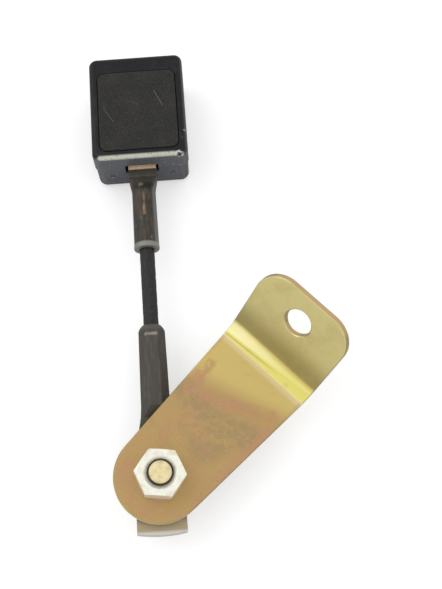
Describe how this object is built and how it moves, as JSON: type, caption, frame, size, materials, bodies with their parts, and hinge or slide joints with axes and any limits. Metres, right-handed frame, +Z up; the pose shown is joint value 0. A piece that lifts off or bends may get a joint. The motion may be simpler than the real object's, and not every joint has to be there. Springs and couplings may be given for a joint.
{
  "type": "seat belt anchor",
  "caption": "Buckle-end seat belt anchor: bent steel bracket, crimped terminal swivelling on a shoulder bolt, short wire rope stalk and a press-button buckle.",
  "frame": {"origin": "centre of the anchor hole in the bracket's raised tab, at half the plate's thickness", "axes": "+Y along the stalk from the pivot bolt to the buckle's tongue slot, +Z up, away from the surface that the buckle and the bolt head lie on"},
  "size_m": [0.0969, 0.2058, 0.0506],
  "materials": {
    "yellow_zinc": "yellow passivated zinc, worn",
    "bolt_zinc": "pale gold zinc",
    "nut_zinc": "silver zinc",
    "washer_steel": "plain steel",
    "friction_plastic": "plain nylon",
    "terminal_steel": "dark oxide, worn bright at edges",
    "rope_coat": "black coated wire rope",
    "ferrule_steel": "dark oxide with bronze wear",
    "frame_steel": "plain zinc steel",
    "spring_steel": "bright spring wire",
    "housing_plastic": "smooth black",
    "button_plastic": "fine-grained black",
    "ejector_plastic": "plain dark acetal"
  },
  "bodies": {
    "bracket": {"bracket_plate": "yellow_zinc", "pivot_bolt": "bolt_zinc", "pivot_nut": "nut_zinc", "wave_washer": "washer_steel", "spacer_washer": "washer_steel", "friction_washer": "friction_plastic"},
    "stalk": {"lower_terminal": "terminal_steel"},
    "rope": {"wire_rope": "rope_coat"},
    "buckle": {"upper_ferrule": "ferrule_steel", "buckle_frame": "frame_steel", "strap_rivet": "frame_steel", "rear_cover": "housing_plastic", "front_cover": "housing_plastic", "latch_pin": "frame_steel", "frame_screws": "frame_steel", "button_springs": "spring_steel", "latch_spring": "spring_steel", "ejector_spring": "spring_steel"},
    "button": {"release_button": "button_plastic"},
    "latch": {"latch_plate": "frame_steel"},
    "ejector": {"ejector_slider": "ejector_plastic"}
  },
  "joints": [
    {"name": "stalk_swivel", "type": "hinge", "parent": "bracket", "child": "stalk", "pos_m": [-0.05889, -0.05282, -0.02497], "axis": [0.0819, 0, 0.9966], "continuous": true},
    {"name": "rope_sideways", "type": "hinge", "parent": "stalk", "child": "rope", "pos_m": [-0.05889, 0.01906, -0.02497], "axis": [0, 0, 1], "range_deg": [-20, 20], "stiffness_Nm_per_rad": 2, "deforming": ["wire_rope"]},
    {"name": "rope_lift", "type": "hinge", "parent": "rope", "child": "buckle", "pos_m": [-0.05889, 0.03621, -0.02497], "axis": [1, 0, 0], "range_deg": [-20, 20], "stiffness_Nm_per_rad": 2, "deforming": ["wire_rope"]},
    {"name": "button_press", "type": "slide", "parent": "buckle", "child": "button", "axis": [0, 0, -1], "range_m": [0, 0.0025], "stiffness_N_per_m": 1200, "springref_m": -0.001, "deforming": ["button_springs"]},
    {"name": "latch_tilt", "type": "hinge", "parent": "buckle", "child": "latch", "pos_m": [-0.05889, 0.10528, -0.01937], "axis": [1, 0, 0], "range_deg": [0, 14.5], "stiffness_Nm_per_rad": 0.02, "springref_deg": -5.73, "deforming": ["latch_spring"]},
    {"name": "ejector_slide", "type": "slide", "parent": "buckle", "child": "ejector", "axis": [0, -1, 0], "range_m": [0, 0.008], "stiffness_N_per_m": 200, "springref_m": -0.003, "deforming": ["ejector_spring"]}
  ],
  "couplings": [
    {"joint": "latch_tilt", "follows": "button_press", "rad_per_m": 101.01}
  ]
}
